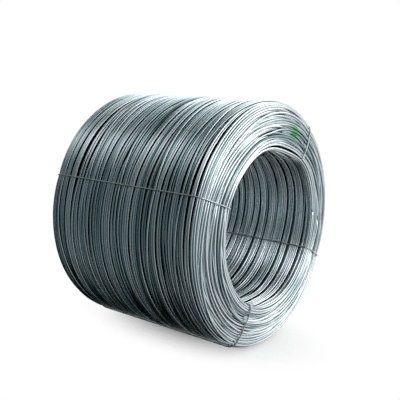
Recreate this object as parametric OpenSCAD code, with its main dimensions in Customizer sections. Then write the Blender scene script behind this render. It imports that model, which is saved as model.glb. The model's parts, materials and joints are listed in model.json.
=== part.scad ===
// Coil of wire rod, lying on its side: the turns are wound on a mandrel and packed to crowned ends,
// and four tie wires run through the bore and round the outside to hold them together.
// Millimetres. The axis of the coil lies along X, Z is up, and the floor under the coil is z = 0.

/* [Coil] */
// Bore that the mandrel leaves, across the innermost turns
bore_d = 508; // [300:1:640]
// Outside diameter, over the outermost turns
coil_d = 800; // [680:1:1300]
// Length along the axis, over both crowned ends
coil_len = 630; // [300:1:1500]
// Radius of the shoulder, where the outside rolls over into an end
shoulder_r = 34; // [20:1:45]
// Angle that the shoulder turns through before the flatter crown of the end takes over
shoulder_turn = 74; // [65:1:82]
// Radius of the lip, where an end turns into the bore
lip_r = 14; // [10:1:20]

/* [Wire] */
// Diameter of the wire rod
wire_d = 7; // [5.5:0.5:12]
// Depth of the furrow between two turns that lie side by side
furrow = 2.2; // [1:0.1:2.6]
// Depth of the flat that the mandrel presses on the innermost turns
mandrel_flat = 0.5; // [0.3:0.1:1.2]

/* [Ties] */
// Diameter of the tie wire
tie_d = 4; // [2.5:0.5:6]
// Clearance between a tie and the turns under it
tie_gap = 0.3; // [0.1:0.1:0.5]
// How far a tie lies behind the bore, in the slot that it draws into the turns
tie_sink = 0.5; // [0:0.1:2]
// Radius that a tie bends to over the lip
tie_bend_r = 6; // [4:0.5:8]
// Length of the twisted tail that closes a tie, on the far end of the coil
tail_len = 62; // [40:1:90]
// Full turns of the two strands in a tail
tail_twists = 4; // [2:1:6]
// Distance of a tail from the outside of the coil
tail_inset = 50; // [48:1:60]
// Place of the upper left tie round the axis, in degrees from +Y towards +Z
upper_left_angle = 156.5; // [120:0.5:180]
// Place of the lower left tie, measured alike
lower_left_angle = 242; // [200:0.5:265]
// Place of the lower right tie, measured alike
lower_right_angle = 332; // [275:0.5:350]
// Place of the upper right tie, measured alike
upper_right_angle = 49; // [10:0.5:80]

/* [Hidden] */
$fn = 120;
crest_sides = 4;
tie_sides = 8;
widest_step = 18;
tie_press = 0.2;
slices_per_twist = 8;
wire_grey = [0.62, 0.66, 0.65];
tie_grey = [0.36, 0.39, 0.38];

// The section of the coil is read in [distance from the axis, place along the axis].
// Its outline over the crests runs along the outside, round the shoulder, over the crown
// and round the lip into the bore, each stretch tangent to the next.
outer_r = coil_d / 2;
bore_r = bore_d / 2;
half_len = coil_len / 2;
crown_r = (outer_r - bore_r - lip_r - shoulder_r * (1 - cos(shoulder_turn))) / cos(shoulder_turn);
outside_end = half_len - crown_r * (1 - sin(shoulder_turn)) - shoulder_r * sin(shoulder_turn);
bore_end = half_len - lip_r;
shoulder_centre = [outer_r - shoulder_r, outside_end];
crown_centre = [bore_r + lip_r, half_len - crown_r];
lip_centre = [bore_r + lip_r, bore_end];

// A point of an arc, at an angle from the outward radial direction towards the end of the coil
function on_arc(centre, radius, angle) = centre + radius * [cos(angle), sin(angle)];
function arc_degrees(length, radius) = length / radius * 180 / PI;
function arc_length(degrees, radius) = degrees * radius * PI / 180;
function mirrored(points) = [for (i = [len(points) - 1 : -1 : 0]) [points[i].x, -points[i].y]];

// The turns that show on the outside and the ends lie side by side, half a wire inside the outline.
// A turn's place is its distance along that line from the middle of the outside.
wire_r = wire_d / 2;
crown_from = outside_end + arc_length(shoulder_turn, shoulder_r - wire_r);
lip_from = crown_from + arc_length(90 - shoulder_turn, crown_r - wire_r);
lip_to = lip_from + arc_length(90, lip_r - wire_r);
shown_turns = round(lip_to / wire_d);
shown_pitch = lip_to / shown_turns;

function facing(place) =
    place < outside_end ? 0
    : place < crown_from ? arc_degrees(place - outside_end, shoulder_r - wire_r)
    : place < lip_from ? shoulder_turn + arc_degrees(place - crown_from, crown_r - wire_r)
    : 90 + arc_degrees(place - lip_from, lip_r - wire_r);
function turn_centre(place) =
    place < outside_end ? [outer_r - wire_r, place]
    : place < crown_from ? on_arc(shoulder_centre, shoulder_r - wire_r, facing(place))
    : place < lip_from ? on_arc(crown_centre, crown_r - wire_r, facing(place))
    : on_arc(lip_centre, lip_r - wire_r, facing(place));

// The round back of a turn, from furrow to furrow, kept out of the mandrel's space
crest_spread = acos((wire_r - furrow) / wire_r);
function outside_mandrel(point) = [max(point.x, bore_r), point.y];
function crest(place) = [
    for (side = [0 : crest_sides])
        outside_mandrel(on_arc(turn_centre(place), wire_r,
            facing(place) + crest_spread * (2 * side / crest_sides - 1)))
];
end_crests = [for (i = [0 : shown_turns - 1]) each crest((i + 0.5) * shown_pitch)];

// The innermost turns, with the flats of the mandrel and the furrows between them
bore_turns = round(2 * bore_end / wire_d);
bore_pitch = 2 * bore_end / bore_turns;
flat_w = 2 * sqrt(pow(wire_r, 2) - pow(wire_r - mandrel_flat, 2));
function bore_turn(place) = [
    [bore_r + furrow, place + bore_pitch / 2],
    [bore_r, place + flat_w / 2],
    [bore_r, place - flat_w / 2]
];
bore_flats = [for (i = [0 : bore_turns - 1]) each bore_turn(bore_end - (i + 0.5) * bore_pitch)];

// A tie is read as [distance from the axis, place along the axis, way that it faces]:
// it lies on the crests outside and over the ends, and bends over the lip into its slot in the bore
tie_r = tie_d / 2;
tie_rise = tie_r + tie_gap;
tie_depth = tie_sink + tie_r;
slot_depth = tie_sink + tie_d + tie_gap;
slot_w = tie_d + 2 * tie_gap;
tie_bend_centre = [bore_r + tie_depth + tie_bend_r, half_len + tie_rise - tie_bend_r];

// The chords of a bent stretch stray from its arc by half the clearance at most
function chord_step(radius) = min(widest_step, 2 * acos(1 - tie_gap / 2 / radius));
function tie_arc(centre, radius, from, to) =
    let (chords = ceil((to - from) / chord_step(radius)))
    [for (i = [0 : chords]) let (a = from + (to - from) * i / chords) [each on_arc(centre, radius, a), a]];
tie_end = concat(
    tie_arc(shoulder_centre, shoulder_r + tie_rise, 0, shoulder_turn),
    tie_arc(crown_centre, crown_r + tie_rise, shoulder_turn, 90),
    tie_arc(tie_bend_centre, tie_bend_r, 90, 180)
);
tie_far_end = [for (i = [len(tie_end) - 1 : -1 : 0]) [tie_end[i].x, -tie_end[i].y, -tie_end[i].z]];
tie_loop = concat(tie_end, tie_far_end);

function tie_ring(stop) = [
    for (side = [0 : tie_sides - 1])
        let (a = side * 360 / tie_sides)
        [
            stop.x + tie_r * cos(a) * cos(stop.z),
            tie_r * sin(a),
            stop.y + tie_r * cos(a) * sin(stop.z)
        ]
];
// The two strands of a tail press into each other a little, and lie on the crests of the far crown
strand_offset = tie_r - tie_press;
tail_slices = slices_per_twist * tail_twists;
tail_distance = outer_r - tail_inset;
tail_rise = strand_offset + tie_r + tie_gap;
far_crown = crown_centre.y + sqrt(pow(crown_r, 2) - pow(tail_distance - crown_centre.x, 2));

function tie_corner(ring, side) = (ring % len(tie_loop)) * tie_sides + side % tie_sides;

// Lays what is built round the Z axis on its side, on the floor
module lay_down() {
    translate([0, 0, outer_r]) rotate([90, 0, 90]) children();
}

// The straight slot that a tie draws into the innermost turns, from the axis outwards
module tie_slot(angle) {
    rotate([0, 0, angle]) translate([0, -slot_w / 2, -half_len])
        cube([bore_r + slot_depth, slot_w, coil_len]);
}

// The loop of a tie, swept along its line
module loop() {
    polyhedron(
        points = [for (stop = tie_loop) each tie_ring(stop)],
        faces = [
            for (ring = [0 : len(tie_loop) - 1], side = [0 : tie_sides - 1]) [
                tie_corner(ring, side),
                tie_corner(ring + 1, side),
                tie_corner(ring + 1, side + 1),
                tie_corner(ring, side + 1)
            ]
        ]
    );
}

// The ends of a tie, twisted together and folded down along the turns of the far end
module tail() {
    translate([tail_distance, tie_r + tie_gap, -far_crown - tail_rise]) rotate([-90, 0, 0])
        linear_extrude(tail_len, twist = 360 * tail_twists, slices = tail_slices, $fn = tie_sides)
            for (side = [-1, 1]) translate([0, side * strand_offset]) circle(tie_r);
}

module tie(angle) {
    lay_down() rotate([0, 0, angle]) {
        loop();
        tail();
    }
}

module wire_coil() {
    color(wire_grey) lay_down() difference() {
        rotate_extrude() polygon(concat(end_crests, bore_flats, mirrored(end_crests)));
        for (angle = [upper_left_angle, lower_left_angle, lower_right_angle, upper_right_angle])
            tie_slot(angle);
    }
}

module tie_upper_left() { color(tie_grey) tie(upper_left_angle); }
module tie_lower_left() { color(tie_grey) tie(lower_left_angle); }
module tie_lower_right() { color(tie_grey) tie(lower_right_angle); }
module tie_upper_right() { color(tie_grey) tie(upper_right_angle); }

wire_coil();
tie_upper_left();
tie_lower_left();
tie_lower_right();
tie_upper_right();
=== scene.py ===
"""A lying coil of wire rod: its turns, its tie wires and a plain studio, laid out as an add-on."""

import json
import math
from typing import NamedTuple

import bmesh
import bpy
import numpy as np
from mathutils import Matrix, Vector


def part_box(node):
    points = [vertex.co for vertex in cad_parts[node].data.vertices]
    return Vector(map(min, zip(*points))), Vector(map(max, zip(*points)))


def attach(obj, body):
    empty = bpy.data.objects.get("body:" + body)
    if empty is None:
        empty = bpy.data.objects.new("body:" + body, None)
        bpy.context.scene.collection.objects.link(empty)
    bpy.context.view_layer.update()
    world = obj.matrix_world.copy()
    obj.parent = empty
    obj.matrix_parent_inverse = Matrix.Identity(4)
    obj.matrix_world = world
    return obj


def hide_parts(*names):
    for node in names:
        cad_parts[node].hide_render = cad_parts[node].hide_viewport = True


bl_info = {
    "name": "Coil of wire rod",
    "version": (1, 0, 0),
    "blender": (4, 5, 0),
    "location": "3D View > Sidebar > Wire Coil",
    "description": "Lays the turns and ties of a coil of wire rod on its solids, in a plain studio",
    "category": "Add Mesh",
}

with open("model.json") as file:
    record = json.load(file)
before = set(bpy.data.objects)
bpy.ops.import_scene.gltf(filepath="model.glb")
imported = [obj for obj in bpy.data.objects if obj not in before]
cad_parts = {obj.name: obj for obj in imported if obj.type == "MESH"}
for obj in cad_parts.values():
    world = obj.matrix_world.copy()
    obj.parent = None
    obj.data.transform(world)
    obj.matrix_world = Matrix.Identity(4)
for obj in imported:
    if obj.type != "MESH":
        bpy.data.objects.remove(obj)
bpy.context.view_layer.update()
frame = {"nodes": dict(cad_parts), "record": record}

# The main sizes come from the solids. The axis of the coil lies along X, and its floor is z = 0.
COIL_NODE = "wire_coil"
COIL_LOW, COIL_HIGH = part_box(COIL_NODE)
OUTER_R = (COIL_HIGH.z - COIL_LOW.z) / 2
AXIS_Z = (COIL_HIGH.z + COIL_LOW.z) / 2
HALF_LEN = (COIL_HIGH.x - COIL_LOW.x) / 2
MILLIMETRE = 0.001
MOUNTS = {mount["name"]: mount for mount in frame["record"]["mounts"]}
BORE_R = MOUNTS["mandrel_bore"]["dims"]["r_mm"] * MILLIMETRE
# Corners closer than this are merged
MERGE = 0.01 * MILLIMETRE
FULL_TURN = 2 * math.pi
QUARTER_TURN = math.pi / 2
# Angles round the axis run from +Y towards +Z, so the floor lies at this one
FLOOR_ANGLE = 1.5 * math.pi


def angle_round_axis(node):
    """The angle of a tie round the axis, from +Y towards +Z, read from the near half of its solid."""
    corners = np.array([corner.co for corner in frame["nodes"][node].data.vertices])
    near = corners[corners[:, 0] > 0].mean(axis=0)
    return math.atan2(near[2] - AXIS_Z, near[1])


TIE_ANGLES = {node: angle_round_axis(node) for node in sorted(frame["nodes"]) if node != COIL_NODE}


class CoilSizes(bpy.types.PropertyGroup):
    """Sizes of the wire, of the section that it is wound to and of the ties."""

    wire_d: bpy.props.FloatProperty(
        name="Wire", description="Diameter of the wire rod", default=0.007, unit="LENGTH"
    )
    shoulder_r: bpy.props.FloatProperty(
        name="Shoulder",
        description="Radius where the outside rolls over into an end",
        default=0.034,
        unit="LENGTH",
    )
    shoulder_turn: bpy.props.FloatProperty(
        name="Shoulder turn",
        description="Angle that the shoulder turns through before the flatter crown takes over",
        default=math.radians(74),
        subtype="ANGLE",
    )
    lip_r: bpy.props.FloatProperty(
        name="Lip", description="Radius where an end turns into the bore", default=0.014, unit="LENGTH"
    )
    slack: bpy.props.FloatProperty(
        name="Slack",
        description="How far a loose turn lies under the highest ones",
        default=0.0014,
        unit="LENGTH",
    )
    tie_d: bpy.props.FloatProperty(
        name="Tie wire", description="Diameter of the tie wire", default=0.004, unit="LENGTH"
    )
    tie_draw: bpy.props.FloatProperty(
        name="Tie draw", description="How far a tie draws the turns in", default=0.0045, unit="LENGTH"
    )
    tie_reach: bpy.props.FloatProperty(
        name="Tie reach",
        description="Angle over which a tie's draw fades",
        default=math.radians(8),
        subtype="ANGLE",
    )
    tail_len: bpy.props.FloatProperty(
        name="Tie tail", description="Length of the twisted tail of a tie", default=0.062, unit="LENGTH"
    )
    tail_twists: bpy.props.IntProperty(name="Twists", description="Full turns of a tail's strands", default=4)
    tail_inset: bpy.props.FloatProperty(
        name="Tail inset",
        description="Distance of a tail from the outside of the coil",
        default=0.05,
        unit="LENGTH",
    )
    wire_sides: bpy.props.IntProperty(name="Wire sides", description="Sides of the wire's mesh", default=8)
    steps: bpy.props.IntProperty(name="Steps", description="Steps of the mesh in a turn of wire", default=120)
    seed: bpy.props.IntProperty(name="Seed", description="Start of the random lay of the turns", default=7)


class CoilFinishes(bpy.types.PropertyGroup):
    """Colours of the wire and of its painted shade, the ties and the paint mark."""

    bright: bpy.props.FloatVectorProperty(
        name="Bright wire", description="Zinc where it is clean", default=(0.72, 0.77, 0.80), subtype="COLOR"
    )
    dull: bpy.props.FloatVectorProperty(
        name="Dull wire", description="Zinc that has dulled", default=(0.195, 0.295, 0.312), subtype="COLOR"
    )
    # A near-black colour that stands in for shade: painted shade on wire deep between the turns
    shadowed_wire: bpy.props.FloatVectorProperty(
        name="Hidden wire",
        description="Wire deep between the turns",
        default=(0.012, 0.016, 0.018),
        subtype="COLOR",
    )
    tie: bpy.props.FloatVectorProperty(
        name="Tie wire", description="Grey drawn tie wire", default=(0.42, 0.46, 0.46), subtype="COLOR"
    )
    paint: bpy.props.FloatVectorProperty(
        name="Paint mark",
        description="Dab of paint on the near end",
        default=(0.03, 0.27, 0.09),
        subtype="COLOR",
    )


class CoilStudio(bpy.types.PropertyGroup):
    """The floor, the light and the camera."""

    floor: bpy.props.FloatVectorProperty(
        name="Floor", description="Colour of the pale floor", default=(0.84, 0.84, 0.84), subtype="COLOR"
    )
    backdrop: bpy.props.FloatVectorProperty(
        name="Backdrop",
        description="Colour of the background and of the bright side of the studio",
        default=(1.0, 1.0, 1.0),
        subtype="COLOR",
    )
    shade: bpy.props.FloatVectorProperty(
        name="Shade",
        description="Colour of the dim side of the studio",
        default=(0.37, 0.47, 0.49),
        subtype="COLOR",
    )
    ambient: bpy.props.FloatVectorProperty(
        name="Ambient", description="Plain light from all round", default=(0.75, 0.75, 0.75), subtype="COLOR"
    )
    key: bpy.props.FloatProperty(name="Key light", description="Strength of the key light", default=1.0)
    key_from: bpy.props.FloatVectorProperty(
        name="Key from",
        description="Direction that the key light comes from",
        default=(0.62, 0.62, 0.48),
        subtype="DIRECTION",
    )
    key_spread: bpy.props.FloatProperty(
        name="Key spread",
        description="Angle that the soft key light fills",
        default=math.radians(50),
        subtype="ANGLE",
    )
    fill: bpy.props.FloatProperty(
        name="Fill light", description="Power of the fill light", default=6.0, unit="POWER"
    )
    fill_at: bpy.props.FloatVectorProperty(
        name="Fill at", description="Place of the fill light", default=(1.5, 0.0, 1.1), subtype="TRANSLATION"
    )
    fill_size: bpy.props.FloatProperty(
        name="Fill size", description="Side of the square fill light", default=0.8, unit="LENGTH"
    )
    camera_at: bpy.props.FloatVectorProperty(
        name="Camera",
        description="Place of the camera",
        default=(1.3644, -1.7498, 0.9375),
        subtype="TRANSLATION",
    )
    camera_towards: bpy.props.FloatVectorProperty(
        name="View",
        description="Direction of the view",
        default=(-0.59587, 0.77348, -0.21603),
        subtype="DIRECTION",
    )
    lens: bpy.props.FloatProperty(
        name="Lens", description="Focal length in mm on a 36 mm sensor", default=59.48
    )


class SectionLine:
    """A line at one depth under the crests, round the coil's section: outside, ends and bore.

    A place on it is the distance from the middle of the outside, towards +X, and it comes
    round to the same point again after twice the length from there to the middle of the bore.
    """

    def __init__(self, sizes, depth):
        turn = sizes.shoulder_turn
        fall = OUTER_R - BORE_R - sizes.lip_r - sizes.shoulder_r * (1 - math.cos(turn))
        crown_r = fall / math.cos(turn)
        self.outside_end = HALF_LEN - crown_r * (1 - math.sin(turn)) - sizes.shoulder_r * math.sin(turn)
        self.bore_end = HALF_LEN - sizes.lip_r
        lip_line = BORE_R + sizes.lip_r
        self.depth = depth
        # Each arc is its centre along the axis and from it, its radius, and the angles that it runs between
        self.arcs = (
            (self.outside_end, OUTER_R - sizes.shoulder_r, sizes.shoulder_r - depth, 0, turn),
            (HALF_LEN - crown_r, lip_line, crown_r - depth, turn, QUARTER_TURN),
            (self.bore_end, lip_line, sizes.lip_r - depth, QUARTER_TURN, math.pi),
        )
        self.stops = [0, self.outside_end]
        for _, _, radius, start, end in self.arcs:
            self.stops.append(self.stops[-1] + radius * (end - start))
        self.stops.append(self.stops[-1] + self.bore_end)
        self.length = self.stops[-1]
        self.shoulder = (self.stops[1] + self.stops[2]) / 2
        self.lip = (self.stops[3] + self.stops[4]) / 2

    def at(self, place):
        """The distance from the axis, the place along it and the way that the line faces."""
        folded = (place + self.length) % (2 * self.length) - self.length
        side = np.where(folded < 0, -1.0, 1.0)
        run = np.abs(folded)
        turn = self.arcs[0][4]
        facing = np.interp(run, self.stops, [0, 0, turn, QUARTER_TURN, math.pi, math.pi])
        stretches = [run < stop for stop in self.stops[1:5]]
        distances = [np.full_like(run, OUTER_R - self.depth)]
        along = [run]
        for centre_x, centre_r, radius, _, _ in self.arcs:
            distances.append(centre_r + radius * np.cos(facing))
            along.append(centre_x + radius * np.sin(facing))
        distance = np.select(stretches, distances, BORE_R + self.depth)
        x = np.select(stretches, along, self.stops[4] + self.bore_end - run)
        return distance, side * x, side * facing

    def moves(self, arc_steps):
        """The steps of a sweep round the whole section, as bmesh spins: centre, angle, run and steps."""
        out = Vector((self.outside_end, 0, 0))
        near = [((x, r, 0), end - start) for x, r, _, start, end in self.arcs]
        far = [((-x, r, 0), end - start) for x, r, _, start, end in reversed(self.arcs)]
        still = Vector((0, 0, 0))
        yield still, 0, out, 1
        for centre, angle in near:
            yield centre, angle, still, arc_steps
        yield still, 0, Vector((-2 * self.bore_end, 0, 0)), 1
        for centre, angle in far:
            yield centre, angle, still, arc_steps
        yield still, 0, out, 1


def wander(rng, rows, angles, waves, steady):
    """A smooth random course round the axis for each of a number of turns, of spread 1."""
    course = steady * rng.standard_normal((rows, 1)) + np.zeros((1, len(angles)))
    for wave in range(1, waves + 1):
        size = rng.standard_normal((rows, 1)) / math.sqrt(wave)
        phase = rng.uniform(0, FULL_TURN, (rows, 1))
        course = course + size * np.cos(wave * angles + phase)
    return course / course.std()


def angle_between(angles, angle):
    """The angle from each of some angles to another, without its sign."""
    return np.abs((angles - angle + math.pi) % FULL_TURN - math.pi)


class Stretch(NamedTuple):
    """A stretch of the section, and how its turns lie."""

    name: str
    start: float
    end: float
    # The share of the stretch that is left as gaps, and the numbers of turns that a bunch can have
    spare: float
    bunches: tuple
    # How far the turns at the edge of a bunch sink, and how much dirt and painted shade they get
    rounding: float
    dirt_and_shade: float
    # How many turns cross the others, and how far they stray from their place
    crossing: int
    sway: float


# Gaps that stand open on the near end: distance from the axis, angle, reach of the angle and width
NEAR_GAPS = (
    (0.310, math.radians(76), math.radians(10), 0.0035),
    (0.284, math.radians(62), math.radians(12), 0.0035),
    (0.312, math.radians(214), math.radians(9), 0.0030),
    (0.329, math.radians(246), math.radians(12), 0.0030),
)

# Where loose turns of the near end hang into the bore: those closer to the axis than a distance,
# round an angle, over its reach, by a depth
DROOPS = (
    (0.312, math.radians(70), math.radians(24), 0.009),
    (0.272, math.radians(74), math.radians(26), 0.012),
)
# A droop comes in over this much of the distance from the axis, and between two places along it
DROOP_EDGE = 0.020
DROOP_FROM_X = 0.10
DROOP_FULL_X = 0.27


def smooth_step(value, start, end):
    """Rises smoothly from 0 at start to 1 at end."""
    share = np.clip((value - start) / (end - start), 0, 1)
    return share * share * (3 - 2 * share)


def droop(distance, along, angle):
    """How far a point of a turn hangs towards the axis."""
    total = np.zeros_like(distance)
    for inside, middle, reach, depth in DROOPS:
        loose = smooth_step(inside - distance, 0, DROOP_EDGE)
        total += depth * loose * np.exp(-((angle_between(angle, middle) / reach) ** 2))
    return total * smooth_step(along, DROOP_FROM_X, DROOP_FULL_X)


# The turns settle between the first two angles and are loose again past the last two. Settled ones get less
# dirt and painted shade, and on the outside their gaps are more even
SETTLED_FROM = (math.radians(150), math.radians(175))
SETTLED_TO = (math.radians(235), math.radians(260))

# Where a turn steps over to the next row, on the outside and in the bore, and how far to each side
STEP_OUTSIDE = math.radians(300)
STEP_IN_BORE = math.radians(150)
STEP_REACH = math.radians(35)


class TurnLay:
    """Where each turn of the wire lies: its place on the section and how far it sinks, at each step."""

    # Turns lie evenly where the coil rests on the floor, over this reach of the angle
    REST_REACH = math.radians(12)
    # A turn is at the edge of a bunch where the gaps beside it come to this many wire diameters, with a
    # share of the gaps past the next turns
    EDGE_GAP = 0.6
    PAST_NEXT = 0.35
    # How many waves a turn's looseness has, how much of it stays level, and the most that it comes to
    LOOSE_WAVES = 5
    LOOSE_STEADY = 0.6
    LOOSEST = 2
    # The share of the dirt and painted shade that is left in the middle of a bunch, and the share that
    # settled turns lack
    MIDDLE_DIRT_AND_SHADE = 0.25
    SETTLED_LACK = 0.5
    # Gaps within a bunch and gaps of settled turns, as shares of a gap between two bunches
    BUNCH_GAP = 0.015
    SETTLED_GAP = 0.35
    # How a gap between two bunches varies round the coil, and how narrow and wide it can be
    GAP_WAVES = 4
    GAP_SPREAD = 0.25
    GAP_LEAST = 0.3
    GAP_MOST = 1.8
    # Where another course is past these levels, the turn beside the gap goes over to the next bunch
    MOVED_WAVES = 3
    MOVED_FROM = 1.0
    MOVED_TO = 1.6
    # How much of both courses stays level
    GAP_STEADY = 0.8
    # Crossing turns keep this many sways from the ends of their stretch. They have their own waves, and
    # a share of the slack and of the dirt and painted shade
    CROSSING_MARGIN = 2
    CROSSING_WAVES = 2
    CROSSING_SLACK = 0.5
    CROSSING_DIRT_AND_SHADE = 0.5
    # A turn gives way fully to one within the first number of wire diameters, and not to one past the second
    UNDER_FULLY = 0.2
    UNDER_NO_MORE = 1.6

    def __init__(self, sizes):
        self.sizes = sizes
        self.rng = np.random.default_rng(sizes.seed)
        self.line = SectionLine(sizes, sizes.wire_d / 2)
        self.angles = np.arange(sizes.steps) * FULL_TURN / sizes.steps
        shoulder, lip, length = self.line.shoulder, self.line.lip, self.line.length
        outside = {"spare": 0.28, "bunches": (2, 3, 3), "rounding": 0.0022, "dirt_and_shade": 1.0, "sway": 0.012}
        ends = {"spare": 0.04, "bunches": (2, 4, 6), "rounding": 0.0008, "dirt_and_shade": 0.2, "sway": 0.012}
        bore = {"spare": 0.22, "bunches": (3, 4, 4, 5), "rounding": 0.0040, "dirt_and_shade": 0.4, "sway": 0.010}
        self.stretches = (
            Stretch("outside", -shoulder, shoulder, crossing=10, **outside),
            Stretch("near_end", shoulder, lip, crossing=12, **ends),
            Stretch("bore", lip, 2 * length - lip, crossing=4, **bore),
            Stretch("far_end", 2 * length - lip, 2 * length - shoulder, crossing=10, **ends),
        )
        drawn_in = [np.exp(-angle_between(self.angles, tie) / sizes.tie_reach) for tie in TIE_ANGLES.values()]
        self.draw = sizes.tie_draw * np.max(drawn_in, axis=0)
        # Turns lie evenly under a tie and where the coil rests on the floor
        at_floor = np.exp(-((angle_between(self.angles, FLOOR_ANGLE) / self.REST_REACH) ** 2))
        self.freedom = (1 - self.draw / sizes.tie_draw) * (1 - at_floor)
        self.settled = smooth_step(self.angles, *SETTLED_FROM) * (1 - smooth_step(self.angles, *SETTLED_TO))
        self.lay_rows()
        self.wind_rows()
        self.lay_crossings()
        self.press_under_crossings()

    def lay_rows(self):
        """The rows that the wire moves across by one in each turn, bunched side by side."""
        wire_d = self.sizes.wire_d
        places, sinks, dirt_and_shade = [], [], []
        self.first = {}
        rows = 0
        for stretch in self.stretches:
            length = stretch.end - stretch.start
            turns = math.floor(length * (1 - stretch.spare) / wire_d)
            gaps = self.gap_widths(stretch, turns, length - turns * wire_d)
            middle = np.vstack([np.zeros_like(self.angles), np.cumsum(wire_d + gaps, axis=0)[:-1]])
            before = np.vstack([gaps[:1], gaps[:-1]])
            two_before = np.vstack([gaps[:2], gaps[:-2]])
            after = np.vstack([gaps[1:], gaps[-1:]])
            beside = gaps + before + self.PAST_NEXT * (two_before + after)
            edge = np.minimum(beside / (self.EDGE_GAP * wire_d), 1)
            loose = np.abs(wander(self.rng, turns, self.angles, self.LOOSE_WAVES, self.LOOSE_STEADY))
            sink = self.sizes.slack * np.minimum(loose, self.LOOSEST) + stretch.rounding * edge
            # Dirt and painted shade: turns beside the gaps are darker, as shade falls between the bunches
            dirt_and_shade_share = self.MIDDLE_DIRT_AND_SHADE + (1 - self.MIDDLE_DIRT_AND_SHADE) * edge
            dirt_and_shade.append(stretch.dirt_and_shade * dirt_and_shade_share * (1 - self.SETTLED_LACK * self.settled))
            places.append(stretch.start + middle)
            sinks.append(sink * self.freedom + self.draw)
            self.first[stretch.name] = rows
            rows += turns
        self.rows = rows
        self.row_places = np.vstack(places)
        self.row_sinks = np.vstack(sinks)
        self.row_dirt_and_shade = np.vstack(dirt_and_shade)

    def gap_widths(self, stretch, turns, spare):
        """The gap after each turn at each step: they open between the bunches.

        A turn at the edge of a bunch goes over to the next one here and there.
        """
        evened = self.SETTLED_GAP * self.settled * (stretch.name == "outside")
        openness = np.full((turns, 1), self.BUNCH_GAP) + evened
        row = 0
        while row < turns - 1:
            row += int(self.rng.choice(stretch.bunches))
            course = wander(self.rng, 1, self.angles, self.GAP_WAVES, self.GAP_STEADY)[0]
            width = np.clip(1 + self.GAP_SPREAD * course, self.GAP_LEAST, self.GAP_MOST)
            course = wander(self.rng, 1, self.angles, self.MOVED_WAVES, self.GAP_STEADY)[0]
            moved = smooth_step(course, self.MOVED_FROM, self.MOVED_TO)
            openness[min(row, turns - 1)] += width * (1 - moved)
            openness[min(row + 1, turns - 1)] += width * moved
        named = np.zeros_like(openness)
        if stretch.name == "near_end":
            evenly = stretch.start + (np.arange(turns) + 1) * (stretch.end - stretch.start) / turns
            distances = self.line.at(evenly)[0]
            for distance, angle, reach, width in NEAR_GAPS:
                row = int(np.argmin(np.abs(distances - distance)))
                named[row] += width * np.exp(-((angle_between(self.angles, angle) / reach) ** 2))
        return named + (spare - named.sum(axis=0)) * openness / openness.sum(axis=0)

    def wind_rows(self):
        """Each turn goes over from its own row to the next within a step, so that the wire is one length.

        The steps lie at one angle on the outside and at another in the bore, and go over on the ends.
        """
        ends = [stretch.start for stretch in self.stretches] + [self.stretches[-1].end]
        middle = self.row_places.mean(axis=1)
        at = np.interp(middle, ends, [STEP_OUTSIDE, STEP_OUTSIDE, STEP_IN_BORE, STEP_IN_BORE, STEP_OUTSIDE])
        self.share = smooth_step(self.angles, at[:, None] - STEP_REACH, at[:, None] + STEP_REACH)
        next_places = np.roll(self.row_places, -1, axis=0)
        next_places[-1] += 2 * self.line.length
        self.places = self.row_places + (next_places - self.row_places) * self.share
        self.sinks = self.stepped(self.row_sinks)
        self.dirt_and_shade = self.stepped(self.row_dirt_and_shade)

    def stepped(self, rows):
        """What each turn takes over from its own row and then from the next one."""
        return rows + (np.roll(rows, -1, axis=0) - rows) * self.share

    def lay_crossings(self):
        """The last turns laid, which run across the others at a slant and over them."""
        self.cross_places, self.cross_sinks, self.cross_dirt_and_shade = [], [], []
        for stretch in self.stretches:
            margin = self.CROSSING_MARGIN * stretch.sway
            for _ in range(stretch.crossing):
                middle = self.rng.uniform(stretch.start + margin, stretch.end - margin)
                course = wander(self.rng, 1, self.angles, self.CROSSING_WAVES, 0)[0]
                place = middle + stretch.sway * course
                sink = self.draw + self.sizes.slack * self.CROSSING_SLACK * self.freedom
                for other_place, other_sink in zip(self.cross_places, self.cross_sinks):
                    sink = self.pressed(place, sink, other_place, other_sink)
                self.cross_places.append(place)
                self.cross_sinks.append(sink)
                self.cross_dirt_and_shade.append(np.full_like(place, self.CROSSING_DIRT_AND_SHADE * stretch.dirt_and_shade))
        self.cross_places = np.array(self.cross_places)
        self.cross_sinks = np.array(self.cross_sinks)
        self.cross_dirt_and_shade = np.array(self.cross_dirt_and_shade)

    def pressed(self, place, sink, over_place, over_sink):
        """How far a turn sinks where it gives way under another, which it clears by a wire's width."""
        wire_d = self.sizes.wire_d
        apart = (place - over_place + self.line.length) % (2 * self.line.length) - self.line.length
        under = 1 - smooth_step(np.abs(apart) / wire_d, self.UNDER_FULLY, self.UNDER_NO_MORE)
        return sink + under * np.maximum(over_sink + wire_d - sink, 0)

    def press_under_crossings(self):
        """The turns give way under each turn that crosses them."""
        for place, sink in zip(self.cross_places, self.cross_sinks):
            self.sinks = self.pressed(self.places, self.sinks, place, sink)

    def turns_of(self, name):
        """The numbers of the turns of one stretch."""
        names = [stretch.name for stretch in self.stretches]
        after = names.index(name) + 1
        end = self.rows if after == len(names) else self.first[names[after]]
        return self.first[name], end


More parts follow.
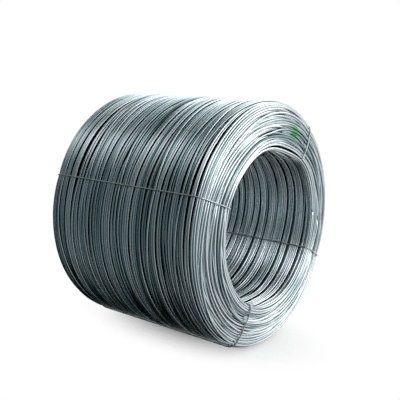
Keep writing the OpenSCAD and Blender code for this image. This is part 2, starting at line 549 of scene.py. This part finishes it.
def spring(sizes, turns, pitch, closed):
    """An evenly wound spring of wire along X, or as many closed rings, as a bmesh."""
    bm = bmesh.new()
    for turn in range(turns):
        bmesh.ops.create_circle(
            bm,
            segments=sizes.wire_sides,
            radius=sizes.wire_d / 2,
            matrix=Matrix.Translation((turn * pitch, OUTER_R, 0)),
        )
    rise = 0 if closed else pitch / sizes.steps
    bmesh.ops.spin(
        bm,
        geom=bm.verts[:] + bm.edges[:],
        cent=(0, 0, 0),
        axis=(1, 0, 0),
        dvec=(rise, 0, 0),
        angle=FULL_TURN,
        steps=sizes.steps,
        use_merge=closed,
    )
    bmesh.ops.remove_doubles(bm, verts=bm.verts, dist=MERGE)
    open_edges = [edge for edge in bm.edges if edge.is_boundary]
    bmesh.ops.holes_fill(bm, edges=open_edges)
    bmesh.ops.recalc_face_normals(bm, faces=bm.faces)
    return bm


def mesh_of(bm, name):
    """A mesh with smooth faces from a bmesh, which is freed."""
    for face in bm.faces:
        face.smooth = True
    mesh = bpy.data.meshes.new(name)
    bm.to_mesh(mesh)
    bm.free()
    return mesh


def mark_corners(mesh, name, values):
    """Keeps a number or a vector at each corner of a mesh, for its finish."""
    values = np.asarray(values, np.float32)
    if values.ndim == 1:
        mesh.attributes.new(name, "FLOAT", "POINT").data.foreach_set("value", values)
    else:
        mesh.attributes.new(name, "FLOAT_VECTOR", "POINT").data.foreach_set("vector", values.ravel())


# Turns are wound this many wire diameters apart before they are laid
SPRING_PITCH = 3
# All the dirt and painted shade lies on a turn below the first share of its radius over its middle, and none
# over the second: painted shade where the turns lie against each other
DEEP_SHARE = -0.3
CLEAR_SHARE = 0.8
# The underside is darkened with painted shade fully up to the first angle from the floor, and not past the
# second. The painted shade is on the outside: it comes in between two cosines of the way that the section
# faces
UNDERSIDE_SHADE = 0.6
UNDERSIDE_SHADE_TO = math.radians(45)
UNDERSIDE_SHADE_PAST = math.radians(76)
UNDERSIDE_SHADE_FACING = (0.4, 1.0)


def wound_mesh(name, sizes, line, places, sinks, tones, dirt_and_shade, closed):
    """One length of wire, or closed rings, moved to where the turns lie on the section.

    A length of wire has one place more than turns: the place where its last turn ends.
    """
    turns = len(places) if closed else len(places) - 1
    pitch = SPRING_PITCH * sizes.wire_d
    mesh = mesh_of(spring(sizes, turns, pitch, closed), name)
    corners = np.zeros(3 * len(mesh.vertices), np.float32)
    mesh.vertices.foreach_get("co", corners)
    corners = corners.reshape(-1, 3).astype(float)
    angle = np.arctan2(corners[:, 2], corners[:, 1]) % FULL_TURN
    step = np.rint(angle / FULL_TURN * sizes.steps).astype(int) % sizes.steps
    share = np.zeros(len(step)) if closed else step / sizes.steps
    turn = np.rint(corners[:, 0] / pitch - share).astype(int)
    across = corners[:, 0] - pitch * (turn + share)
    up = np.hypot(corners[:, 1], corners[:, 2]) - OUTER_R
    row = turn % len(places)
    distance, along, facing = line.at(places[row, step])
    height = up - sinks[row, step]
    turned = step * FULL_TURN / sizes.steps
    out = distance + height * np.cos(facing) - across * np.sin(facing) - droop(distance, along, turned)
    laid = np.column_stack(
        [
            along + height * np.sin(facing) + across * np.cos(facing),
            out * np.cos(turned),
            out * np.sin(turned) + AXIS_Z,
        ]
    )
    mesh.vertices.foreach_set("co", laid.astype(np.float32).ravel())
    mesh.update()
    # Painted shade low on each turn, with some dirt, where the turns lie against each other
    low_dirt_and_shade = 1 - smooth_step(up / (sizes.wire_d / 2), DEEP_SHARE, CLEAR_SHARE)
    underneath = 1 - smooth_step(angle_between(turned, FLOOR_ANGLE), UNDERSIDE_SHADE_TO, UNDERSIDE_SHADE_PAST)
    # Painted shade on the underside of the outside, added to the other darkening
    underside_shade = UNDERSIDE_SHADE * underneath * smooth_step(np.cos(facing), *UNDERSIDE_SHADE_FACING)
    travel = (turn + share) * FULL_TURN * OUTER_R
    mark_corners(mesh, "tone_and_painted_light", tones[row, step])
    mark_corners(mesh, "dirt_and_shade", low_dirt_and_shade * dirt_and_shade[row, step] + underside_shade)
    mark_corners(mesh, "grain", np.column_stack([travel, across, up]))
    return mesh


def add_piece(name, mesh, node, finish):
    """Puts a finished mesh in the scene as a piece that stands for a node."""
    piece = bpy.data.objects.new(name, mesh)
    bpy.context.scene.collection.objects.link(piece)
    mesh.materials.append(finish)
    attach(piece, "root")
    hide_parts(node)


def sweep_round_section(bm, geom, line, arc_steps):
    """Sweeps a corner or a ring once round the section, and closes it."""
    last = geom
    for centre, angle, run, steps in line.moves(arc_steps):
        swept = bmesh.ops.spin(
            bm,
            geom=last,
            cent=centre,
            axis=(0, 0, -1),
            dvec=run / steps,
            angle=angle,
            steps=steps,
            use_merge=False,
        )
        last = swept["geom_last"]
    bmesh.ops.remove_doubles(bm, verts=bm.verts, dist=MERGE)


class Value:
    """A socket of a shader that takes part in expressions: each operator adds a Math node."""

    def __init__(self, tree, socket):
        self.tree = tree
        self.socket = socket

    def math(self, operation, first, second):
        """Adds a Math node for two terms, each of them a value or a number."""
        node = self.tree.nodes.new("ShaderNodeMath")
        node.operation = operation
        for place, term in enumerate((first, second)):
            if isinstance(term, Value):
                self.tree.links.new(term.socket, node.inputs[place])
            else:
                node.inputs[place].default_value = term
        return Value(self.tree, node.outputs[0])

    def __add__(self, other):
        return self.math("ADD", self, other)

    def __radd__(self, other):
        return self.math("ADD", other, self)

    def __sub__(self, other):
        return self.math("SUBTRACT", self, other)

    def __rsub__(self, other):
        return self.math("SUBTRACT", other, self)

    def __mul__(self, other):
        return self.math("MULTIPLY", self, other)

    def __rmul__(self, other):
        return self.math("MULTIPLY", other, self)


class Shader:
    """A node tree: one method adds its nodes, and the others are patterns and mixes made with it."""

    def __init__(self, tree):
        self.tree = tree
        tree.nodes.clear()

    def node(self, kind, settings=None, sockets=None):
        """Adds a node with its settings and its sockets' values or links, and returns its outputs by name."""
        node = self.tree.nodes.new(kind)
        for name, setting in (settings or {}).items():
            if name == "stops":
                self.set_stops(node.color_ramp, setting)
            else:
                setattr(node, name, setting)
        for name, term in (sockets or {}).items():
            socket = self.find_socket(node, name)
            if isinstance(term, Value):
                self.tree.links.new(term.socket, socket)
            else:
                socket.default_value = term
        return {socket.name: Value(self.tree, socket) for socket in node.outputs if socket.enabled}

    @staticmethod
    def find_socket(node, name):
        """The socket of a name, or of a number where several share a name."""
        if isinstance(name, int):
            return node.inputs[name]
        return next(socket for socket in node.inputs if socket.name == name and socket.enabled)

    @staticmethod
    def set_stops(ramp, stops):
        """Gives a colour ramp its stops, each a position and a colour."""
        for place, (position, colour) in enumerate(stops):
            element = ramp.elements[place] if place < len(ramp.elements) else ramp.elements.new(position)
            element.position = position
            element.color = (*colour, 1)

    def noise(self, vector, waves, detail):
        """A noise pattern with so many waves to a unit of the vector."""
        sockets = {"Vector": vector, "Scale": waves, "Detail": detail}
        return self.node("ShaderNodeTexNoise", {}, sockets)["Fac"]

    def rise(self, value, start, end):
        """Rises smoothly from 0 where a value is at start to 1 where it is at end."""
        sockets = {"Value": value, "From Min": start, "From Max": end}
        return self.node("ShaderNodeMapRange", {"interpolation_type": "SMOOTHSTEP"}, sockets)["Result"]

    def mix(self, share, first, second):
        """A colour between two others."""
        sockets = {"Factor": share, "A": first, "B": second}
        return self.node("ShaderNodeMix", {"data_type": "RGBA"}, sockets)["Result"]

    def relief(self, height, depth, strength):
        """A normal that shows a pattern as relief."""
        sockets = {"Strength": strength, "Distance": depth, "Height": height}
        return self.node("ShaderNodeBump", {}, sockets)["Normal"]

    def surface(self, sockets):
        """Ends a material in a Principled shader."""
        bsdf = self.node("ShaderNodeBsdfPrincipled", {}, sockets)["BSDF"]
        self.node("ShaderNodeOutputMaterial", {}, {"Surface": bsdf})


def new_material(name):
    """A material and the shader that it is made with."""
    material = bpy.data.materials.new(name)
    material.use_nodes = True
    return material, Shader(material.node_tree)


# The paint mark on the near end: its middle, the reach of its strong part and of its last traces, and how
# far and how finely its edge is ragged
PAINT_X = 0.99 * HALF_LEN
PAINT_ANGLE = math.radians(66)
PAINT_DISTANCE = 0.319
PAINT_CORE = 0.011
PAINT_REACH = 0.036
PAINT_RAGGED = 0.016
PAINT_WAVES = 130.0


def paint_mask(shader, here):
    """Where the paint lies: 1 at the middle of its mark, and 0 past the ragged edge."""
    middle = (
        PAINT_X,
        PAINT_DISTANCE * math.cos(PAINT_ANGLE),
        AXIS_Z + PAINT_DISTANCE * math.sin(PAINT_ANGLE),
    )
    reach = shader.node("ShaderNodeVectorMath", {"operation": "DISTANCE"}, {0: here, 1: middle})["Value"]
    ragged = shader.noise(here, PAINT_WAVES, detail=3.0)
    return 1 - shader.rise(reach + PAINT_RAGGED * (ragged - 0.5), PAINT_CORE, PAINT_REACH)


def along_wire(shader, waves, detail):
    """A noise pattern with its own number of waves along the wire and across it."""
    grain = shader.node("ShaderNodeAttribute", {"attribute_name": "grain"})["Vector"]
    scaled = shader.node("ShaderNodeMapping", {}, {"Vector": grain, "Scale": waves})["Vector"]
    return shader.noise(scaled, 1.0, detail)


# Waves to the metre of the zinc's drawn lines and patches, along the wire and across it, and of its specks
LINE_WAVES = (5, 420, 420)
PATCH_WAVES = (1.6, 60, 60)
SPECK_WAVES = 420.0
# How much the tone of a turn and these patterns count in its shade, what dirt and painted shade take off, and
# a fixed drop
TONE_COUNTS = 0.6
PATCH_COUNTS = 0.3
LINE_COUNTS = 0.9
SPECK_COUNTS = 0.12
DIRT_AND_SHADE_COUNTS = 0.6
SHADE_DROP = 0.45
# The shades of the painted shade of wire deep between the turns, of dull zinc and of bright zinc
SHADOWED_WIRE_SHADE = 0.0
DULL_SHADE = 0.25
BRIGHT_SHADE = 0.75


def wire_finish(finishes):
    """Zinc coated wire, drawn bright and dulled in places, darkened between the turns with soiling and
    painted shade and underneath with painted shade, with the dab of paint on the near end.
    """
    if "zinc_wire" in bpy.data.materials:
        return bpy.data.materials["zinc_wire"]
    material, shader = new_material("zinc_wire")
    here = shader.node("ShaderNodeTexCoord")["Object"]
    tone = shader.node("ShaderNodeAttribute", {"attribute_name": "tone_and_painted_light"})["Fac"]
    dirt_and_shade = shader.node("ShaderNodeAttribute", {"attribute_name": "dirt_and_shade"})["Fac"]
    lines = along_wire(shader, LINE_WAVES, detail=4.0)
    patches = along_wire(shader, PATCH_WAVES, detail=3.0)
    specks = shader.noise(here, SPECK_WAVES, detail=2.0)
    shade = TONE_COUNTS * tone + PATCH_COUNTS * patches + LINE_COUNTS * lines + SPECK_COUNTS * specks
    shade = shade - SHADE_DROP - DIRT_AND_SHADE_COUNTS * dirt_and_shade
    stops = [
        (SHADOWED_WIRE_SHADE, tuple(finishes.shadowed_wire)),
        (DULL_SHADE, tuple(finishes.dull)),
        (BRIGHT_SHADE, tuple(finishes.bright)),
    ]
    zinc = shader.node("ShaderNodeValToRGB", {"stops": stops}, {"Fac": shade})["Color"]
    paint = paint_mask(shader, here)
    shader.surface(
        {
            "Base Color": shader.mix(paint, zinc, (*finishes.paint, 1)),
            "Metallic": 1.0 - 0.85 * paint,
            "Roughness": 0.12 + 0.14 * patches + 0.08 * lines + 0.2 * paint,
            "Normal": shader.relief(lines + 0.5 * specks, depth=0.0004, strength=0.12),
        }
    )
    return material


# Waves to the metre of the tie's mottled tone and of its fine scale, and its darkest and palest tone as
# shares of its colour
MOTTLE_WAVES = 90.0
SCALE_WAVES = 900.0
TIE_DARK = 0.6
TIE_PALE = 1.5
# The shades at which the tie is darkest and palest, and how much both patterns count in its shade
TIE_DARK_SHADE = 0.3
TIE_PALE_SHADE = 0.72
MOTTLE_COUNTS = 0.75
SCALE_COUNTS = 0.25


def tie_finish(finishes):
    """Grey drawn wire, mottled with a fine scale."""
    if "tie_wire" in bpy.data.materials:
        return bpy.data.materials["tie_wire"]
    material, shader = new_material("tie_wire")
    here = shader.node("ShaderNodeTexCoord")["Object"]
    mottle = shader.noise(here, MOTTLE_WAVES, detail=5.0)
    scale = shader.noise(here, SCALE_WAVES, detail=2.0)
    dark = tuple(TIE_DARK * channel for channel in finishes.tie)
    pale = tuple(TIE_PALE * channel for channel in finishes.tie)
    stops = [(TIE_DARK_SHADE, dark), (TIE_PALE_SHADE, pale)]
    shade = MOTTLE_COUNTS * mottle + SCALE_COUNTS * scale
    shader.surface(
        {
            "Base Color": shader.node("ShaderNodeValToRGB", {"stops": stops}, {"Fac": shade})["Color"],
            "Metallic": 1.0,
            "Roughness": 0.35 + 0.25 * mottle,
            "Normal": shader.relief(scale, depth=0.0003, strength=0.25),
        }
    )
    return material


# The tone of the turns: its middle and its spread, its waves round the coil and how much of it stays level,
# and the share that a turn takes over from the last one
TONE = 0.55
TONE_SPREAD = 0.26
TONE_WAVES = 5
TONE_STEADY = 1.0
TONE_SHARED = 0.2
# The turns in the bore are painted brighter than the others by this much: painted light
BORE_PAINTED_LIGHT = 0.18
# The rows, the crossing turns and the under turns draw their tones this far past the seed
ROW_SEED = 1
CROSSING_SEED = 2
UNDER_SEED = 3


def turn_tones(sizes, count, past_seed):
    """How bright the zinc of each of a number of turns is at each step."""
    rng = np.random.default_rng(sizes.seed + past_seed)
    angles = np.arange(sizes.steps) * FULL_TURN / sizes.steps
    course = wander(rng, count, angles, TONE_WAVES, TONE_STEADY)
    shared = course + TONE_SHARED * np.roll(course, 1, axis=0)
    return TONE + TONE_SPREAD * shared / shared.std()


def add_turns(context, name, line, places, sinks, tones, dirt_and_shade, closed):
    """Adds turns of wire as a piece: one length of wire, or closed rings."""
    mesh = wound_mesh(name, context.scene.coil_sizes, line, places, sinks, tones, dirt_and_shade, closed)
    add_piece(name, mesh, COIL_NODE, wire_finish(context.scene.coil_finishes))


def lay_stretch(context, stretch):
    """Adds the turns of one stretch of the section as a piece."""
    sizes = context.scene.coil_sizes
    lay = TurnLay(sizes)
    start, end = lay.turns_of(stretch)
    turns = np.arange(start, end + 1) % lay.rows
    places, sinks, dirt_and_shade = lay.places[turns], lay.sinks[turns], lay.dirt_and_shade[turns]
    tones = lay.stepped(turn_tones(sizes, lay.rows, ROW_SEED))[turns]
    # Painted light: the turns of the bore are made brighter in tone
    if stretch == "bore":
        tones = tones + BORE_PAINTED_LIGHT
    add_turns(context, f"{stretch}_turns", lay.line, places, sinks, tones, dirt_and_shade, closed=False)


class WIRECOIL_OT_hidden_turns(bpy.types.Operator):
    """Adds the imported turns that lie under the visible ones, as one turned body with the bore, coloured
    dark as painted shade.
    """

    bl_idname = "wire_coil.hidden_turns"
    bl_label = "Hidden turns"

    # How deep the turned body lies under the crests, and how dark its painted shade is, elsewhere and in the
    # bore
    DEPTH = 0.0135
    TONE = -1.0
    BORE_SHADED_TONE = -0.15
    # Corners less than this many depths from the bore count as in it
    BORE_REACH = 1.2
    # The steps of each bend of the section, and those round the axis
    ARC_STEPS = 8
    STEPS = 96

    def execute(self, context):
        sizes = context.scene.coil_sizes
        bm = bmesh.new()
        corner = bm.verts.new((0, OUTER_R - self.DEPTH, 0))
        sweep_round_section(bm, [corner], SectionLine(sizes, self.DEPTH), self.ARC_STEPS)
        bmesh.ops.spin(
            bm,
            geom=bm.verts[:] + bm.edges[:],
            cent=(0, 0, 0),
            axis=(1, 0, 0),
            angle=FULL_TURN,
            steps=self.STEPS,
            use_merge=True,
        )
        bmesh.ops.recalc_face_normals(bm, faces=bm.faces)
        bmesh.ops.translate(bm, verts=bm.verts, vec=(0, 0, AXIS_Z))
        mesh = mesh_of(bm, "hidden_turns")
        distances = np.array([math.hypot(corner.co.y, corner.co.z - AXIS_Z) for corner in mesh.vertices])
        in_bore = distances < BORE_R + self.BORE_REACH * self.DEPTH
        mark_corners(mesh, "tone_and_painted_light", np.where(in_bore, self.BORE_SHADED_TONE, self.TONE))
        add_piece("hidden_turns", mesh, COIL_NODE, wire_finish(context.scene.coil_finishes))
        return {"FINISHED"}


class WIRECOIL_OT_outside_turns(bpy.types.Operator):
    """Lays the turns of the outside, in bunches."""

    bl_idname = "wire_coil.outside_turns"
    bl_label = "Outside turns"

    def execute(self, context):
        lay_stretch(context, "outside")
        return {"FINISHED"}


class WIRECOIL_OT_end_turns(bpy.types.Operator):
    """Lays the turns of the two crowned ends."""

    bl_idname = "wire_coil.end_turns"
    bl_label = "End turns"

    def execute(self, context):
        lay_stretch(context, "near_end")
        lay_stretch(context, "far_end")
        return {"FINISHED"}


class WIRECOIL_OT_under_turns(bpy.types.Operator):
    """Lays the second layer of turns under those of the ends, in their furrows."""

    bl_idname = "wire_coil.under_turns"
    bl_label = "Under turns"

    # How deep the second layer lies under the first, in wire diameters, and how much dirt and painted shade
    # it gets
    DEPTH = 0.87
    DIRT_AND_SHADE = 0.3

    def execute(self, context):
        sizes = context.scene.coil_sizes
        lay = TurnLay(sizes)
        places, sinks = [], []
        for stretch in lay.stretches:
            if stretch.name in ("near_end", "far_end"):
                start, end = lay.turns_of(stretch.name)
                places.append((lay.row_places[start : end - 1] + lay.row_places[start + 1 : end]) / 2)
                sinks.append(np.maximum(lay.row_sinks[start : end - 1], lay.row_sinks[start + 1 : end]))
        places = np.vstack(places)
        sinks = np.vstack(sinks) + self.DEPTH * sizes.wire_d
        tones = turn_tones(sizes, len(places), UNDER_SEED)
        dirt_and_shade = np.full_like(sinks, self.DIRT_AND_SHADE)
        add_turns(context, "under_turns", lay.line, places, sinks, tones, dirt_and_shade, closed=True)
        return {"FINISHED"}


class WIRECOIL_OT_bore_turns(bpy.types.Operator):
    """Lays the innermost turns, which show in the bore."""

    bl_idname = "wire_coil.bore_turns"
    bl_label = "Bore turns"

    def execute(self, context):
        lay_stretch(context, "bore")
        return {"FINISHED"}


class WIRECOIL_OT_crossing_turns(bpy.types.Operator):
    """Lays the last turns, which cross the others at a slant."""

    bl_idname = "wire_coil.crossing_turns"
    bl_label = "Crossing turns"

    def execute(self, context):
        sizes = context.scene.coil_sizes
        lay = TurnLay(sizes)
        places, sinks, dirt_and_shade = lay.cross_places, lay.cross_sinks, lay.cross_dirt_and_shade
        tones = turn_tones(sizes, len(places), CROSSING_SEED)
        add_turns(context, "crossing_turns", lay.line, places, sinks, tones, dirt_and_shade, closed=True)
        return {"FINISHED"}


class WIRECOIL_OT_ties(bpy.types.Operator):
    """Adds the four tie wires, each a loop through the bore with a twisted tail on the far end."""

    bl_idname = "wire_coil.ties"
    bl_label = "Ties"

    # The sides of a tie's mesh, and its steps in each bend of the section and in each twist of a tail
    SIDES = 12
    ARC_STEPS = 10
    STEPS_PER_TWIST = 14
    # How far the strands of a tail press into each other, and how far a tail's free end lifts
    PRESS = 0.0002
    LIFT = math.radians(2.5)

    def execute(self, context):
        for node, angle in TIE_ANGLES.items():
            self.add_tie(context, node, angle)
        return {"FINISHED"}

    def add_tie(self, context, node, angle):
        """A loop that is swept round the section and turned to its angle, with its tail."""
        sizes = context.scene.coil_sizes
        tie_r = sizes.tie_d / 2
        depth = sizes.tie_draw - tie_r
        line = SectionLine(sizes, depth)
        bm = bmesh.new()
        ring = bmesh.ops.create_circle(
            bm,
            segments=self.SIDES,
            radius=tie_r,
            matrix=Matrix.Translation((0, OUTER_R - depth, 0)) @ Matrix.Rotation(QUARTER_TURN, 4, "Y"),
        )
        sweep_round_section(bm, ring["verts"] + bm.edges[:], line, self.ARC_STEPS)
        self.add_tail(bm, sizes, line)
        bmesh.ops.recalc_face_normals(bm, faces=bm.faces)
        bmesh.ops.rotate(bm, verts=bm.verts, cent=(0, 0, 0), matrix=Matrix.Rotation(angle, 3, "X"))
        bmesh.ops.translate(bm, verts=bm.verts, vec=(0, 0, AXIS_Z))
        name = f"{node}_wire"
        add_piece(name, mesh_of(bm, name), node, tie_finish(context.scene.coil_finishes))

    def add_tail(self, bm, sizes, line):
        """Two strands twisted together, beside the loop on the far end."""
        tie_r = sizes.tie_d / 2
        offset = tie_r - self.PRESS
        distance = OUTER_R - sizes.tail_inset
        crown_x, crown_line, crown_r, _, _ = line.arcs[1]
        crown = crown_x + math.sqrt(crown_r**2 - (distance - crown_line) ** 2)
        root = Vector((-crown - offset, distance, 2 * tie_r))
        rings = [
            bmesh.ops.create_circle(
                bm,
                segments=self.SIDES,
                radius=tie_r,
                matrix=Matrix.Translation(root + Vector((side * offset, 0, 0))),
            )["verts"]
            for side in (-1, 1)
        ]
        start = rings[0] + rings[1]
        edges = list({edge for corner in start for edge in corner.link_edges})
        steps = self.STEPS_PER_TWIST * sizes.tail_twists
        known = set(bm.verts)
        bmesh.ops.spin(
            bm,
            geom=start + edges,
            cent=root,
            axis=(0, 0, 1),
            dvec=(0, 0, sizes.tail_len / steps),
            angle=FULL_TURN * sizes.tail_twists,
            steps=steps,
            use_merge=False,
        )
        tail = start + [corner for corner in bm.verts if corner not in known]
        bmesh.ops.rotate(bm, verts=tail, cent=root, matrix=Matrix.Rotation(-self.LIFT, 3, "Y"))
        bmesh.ops.holes_fill(bm, edges=[edge for edge in bm.edges if edge.is_boundary])


class WIRECOIL_OT_studio(bpy.types.Operator):
    """Adds the floor, the light and the camera."""

    bl_idname = "wire_coil.studio"
    bl_label = "Studio"

    # The floor is a disc that fades out between two distances from its middle, which count half along X
    FLOOR_SIDES = 96
    FLOOR_R = 1.2
    FLOOR_FULL = 0.02
    FLOOR_GONE = 0.28
    FLOOR_ALONG_X = 0.5
    # How bright the studio is round the coil's axis, in degrees from overhead towards -Y
    ROUND_AXIS = (
        (-180, 0.03),
        (-158, 0.03),
        (-143, 1.0),
        (-80, 1.0),
        (-66, 2.1),
        (-52, 2.1),
        (-41, 1.0),
        (-28, 0.34),
        (-13, 0.19),
        (2, 0.22),
        (12, 0.62),
        (22, 1.35),
        (34, 0.6),
        (46, 0.15),
        (62, 0.15),
        (125, 0.16),
        (150, 0.06),
        (180, 0.03),
    )
    # The cool tint of daylight
    TINT = (0.78, 1.0, 1.02)
    # In front of the near end is a wall: it comes in between two shares of +X, with so much of +Y added
    FRONT_BETWEEN = (0.56, 0.76)
    FRONT_RIGHT = 0.4
    # The wall goes from dim to bright between two shares of +Y, with so much of +X added
    BRIGHT_BETWEEN = (-0.2, 0.15)
    BRIGHT_FRONT = 0.3
    # The width of the camera's sensor in mm
    SENSOR = 36

    def execute(self, context):
        studio = context.scene.coil_studio
        context.scene.view_settings.view_transform = "Standard"
        self.add_floor(context, studio)
        self.add_key(context, studio)
        self.add_fill(context, studio)
        self.set_world(context, studio)
        self.add_camera(context, studio)
        return {"FINISHED"}

    def add_floor(self, context, studio):
        """A pale floor that takes the coil's shadow and fades into the backdrop."""
        bm = bmesh.new()
        bmesh.ops.create_circle(bm, cap_ends=True, segments=self.FLOOR_SIDES, radius=self.FLOOR_R)
        floor = bpy.data.objects.new("floor", mesh_of(bm, "floor"))
        context.scene.collection.objects.link(floor)
        material, shader = new_material("pale_floor")
        here = shader.node("ShaderNodeTexCoord")["Object"]
        scale = (self.FLOOR_ALONG_X, 1, 1)
        scaled = shader.node("ShaderNodeMapping", {}, {"Vector": here, "Scale": scale})["Vector"]
        reach = shader.node("ShaderNodeVectorMath", {"operation": "LENGTH"}, {"Vector": scaled})["Value"]
        fade = shader.rise(reach, self.FLOOR_FULL, self.FLOOR_GONE)
        paint = shader.node("ShaderNodeBsdfDiffuse", {}, {"Color": (*studio.floor, 1)})["BSDF"]
        clear = shader.node("ShaderNodeBsdfTransparent")["BSDF"]
        mixed = shader.node("ShaderNodeMixShader", {}, {"Fac": fade, 1: paint, 2: clear})["Shader"]
        shader.node("ShaderNodeOutputMaterial", {}, {"Surface": mixed})
        floor.data.materials.append(material)

    def add_key(self, context, studio):
        """A soft light from the right of the camera's view."""
        lamp = bpy.data.lights.new("key", "SUN")
        lamp.energy = studio.key
        lamp.angle = studio.key_spread
        key = bpy.data.objects.new("key", lamp)
        key.rotation_euler = Vector(studio.key_from).to_track_quat("Z", "Y").to_euler()
        context.scene.collection.objects.link(key)

    def add_fill(self, context, studio):
        """A soft light on the near end."""
        lamp = bpy.data.lights.new("fill", "AREA")
        lamp.energy = studio.fill
        lamp.size = studio.fill_size
        fill = bpy.data.objects.new("fill", lamp)
        fill.location = studio.fill_at
        fill.rotation_euler = (fill.location - Vector((0, 0, AXIS_Z))).to_track_quat("Z", "Y").to_euler()
        context.scene.collection.objects.link(fill)

    def set_world(self, context, studio):
        """What the wire reflects: bands of light round the coil's axis, and the wall before the near end.

        Dull surfaces get plain light from all round, and the camera sees the backdrop.
        """
        world = bpy.data.worlds.new("studio")
        world.use_nodes = True
        context.scene.world = world
        world.cycles.sampling_method = "NONE"
        shader = Shader(world.node_tree)
        towards = shader.node("ShaderNodeTexCoord")["Generated"]
        axes = shader.node("ShaderNodeSeparateXYZ", {}, {"Vector": towards})
        round_axis = shader.node(
            "ShaderNodeMath", {"operation": "ARCTAN2"}, {0: -1 * axes["Y"], 1: axes["Z"]}
        )["Value"]
        stops = [((angle + 180) / 360, self.tinted(level)) for angle, level in self.ROUND_AXIS]
        place = 0.5 + round_axis * (1 / FULL_TURN)
        bands = shader.node("ShaderNodeValToRGB", {"stops": stops}, {"Fac": place})["Color"]
        bright = shader.rise(axes["Y"] + self.BRIGHT_FRONT * axes["X"], *self.BRIGHT_BETWEEN)
        right = shader.node("ShaderNodeMath", {"operation": "MAXIMUM"}, {0: axes["Y"], 1: 0.0})["Value"]
        front = shader.rise(axes["X"] + self.FRONT_RIGHT * right, *self.FRONT_BETWEEN)
        wall = shader.mix(bright, (*studio.shade, 1), (*studio.backdrop, 1))
        seen = shader.mix(front, bands, wall)
        path = shader.node("ShaderNodeLightPath")
        reflected = path["Is Glossy Ray"] + path["Is Transmission Ray"]
        lit = shader.mix(reflected, (*studio.ambient, 1), seen)
        colour = shader.mix(path["Is Camera Ray"], lit, (*studio.backdrop, 1))
        light = shader.node("ShaderNodeBackground", {}, {"Color": colour, "Strength": 1.0})["Background"]
        shader.node("ShaderNodeOutputWorld", {}, {"Surface": light})

    def tinted(self, level):
        """A level of grey, with the tint where it isn't white."""
        return tuple(level * (channel + (1 - channel) * min(level, 1)) for channel in self.TINT)

    def add_camera(self, context, studio):
        """The camera, with the near end of the coil on the right of its view."""
        lens = bpy.data.cameras.new("camera")
        lens.sensor_width = self.SENSOR
        lens.lens = studio.lens
        camera = bpy.data.objects.new("camera", lens)
        camera.location = studio.camera_at
        camera.rotation_euler = Vector(studio.camera_towards).to_track_quat("-Z", "Y").to_euler()
        context.scene.collection.objects.link(camera)
        context.scene.camera = camera


class WIRECOIL_PT_panel(bpy.types.Panel):
    """Lists the pieces of the coil."""

    bl_label = "Coil of wire rod"
    bl_idname = "WIRECOIL_PT_panel"
    bl_space_type = "VIEW_3D"
    bl_region_type = "UI"
    bl_category = "Wire Coil"

    def draw(self, context):
        for operator in OPERATORS:
            self.layout.operator(operator.bl_idname)


GROUPS = (CoilSizes, CoilFinishes, CoilStudio)
OPERATORS = (
    WIRECOIL_OT_hidden_turns,
    WIRECOIL_OT_outside_turns,
    WIRECOIL_OT_end_turns,
    WIRECOIL_OT_under_turns,
    WIRECOIL_OT_bore_turns,
    WIRECOIL_OT_crossing_turns,
    WIRECOIL_OT_ties,
    WIRECOIL_OT_studio,
)
CLASSES = (*GROUPS, *OPERATORS, WIRECOIL_PT_panel)


def register():
    """Registers the classes and gives the scene its settings."""
    for made in CLASSES:
        bpy.utils.register_class(made)
    bpy.types.Scene.coil_sizes = bpy.props.PointerProperty(type=CoilSizes)
    bpy.types.Scene.coil_finishes = bpy.props.PointerProperty(type=CoilFinishes)
    bpy.types.Scene.coil_studio = bpy.props.PointerProperty(type=CoilStudio)


def unregister():
    """Undoes what register does."""
    del bpy.types.Scene.coil_studio
    del bpy.types.Scene.coil_finishes
    del bpy.types.Scene.coil_sizes
    for made in reversed(CLASSES):
        bpy.utils.unregister_class(made)


def main():
    """Adds the coil and its studio."""
    register()
    bpy.ops.wire_coil.hidden_turns()
    bpy.ops.wire_coil.outside_turns()
    bpy.ops.wire_coil.end_turns()
    bpy.ops.wire_coil.under_turns()
    bpy.ops.wire_coil.bore_turns()
    bpy.ops.wire_coil.crossing_turns()
    bpy.ops.wire_coil.ties()
    bpy.ops.wire_coil.studio()


if __name__ == "__main__":
    main()
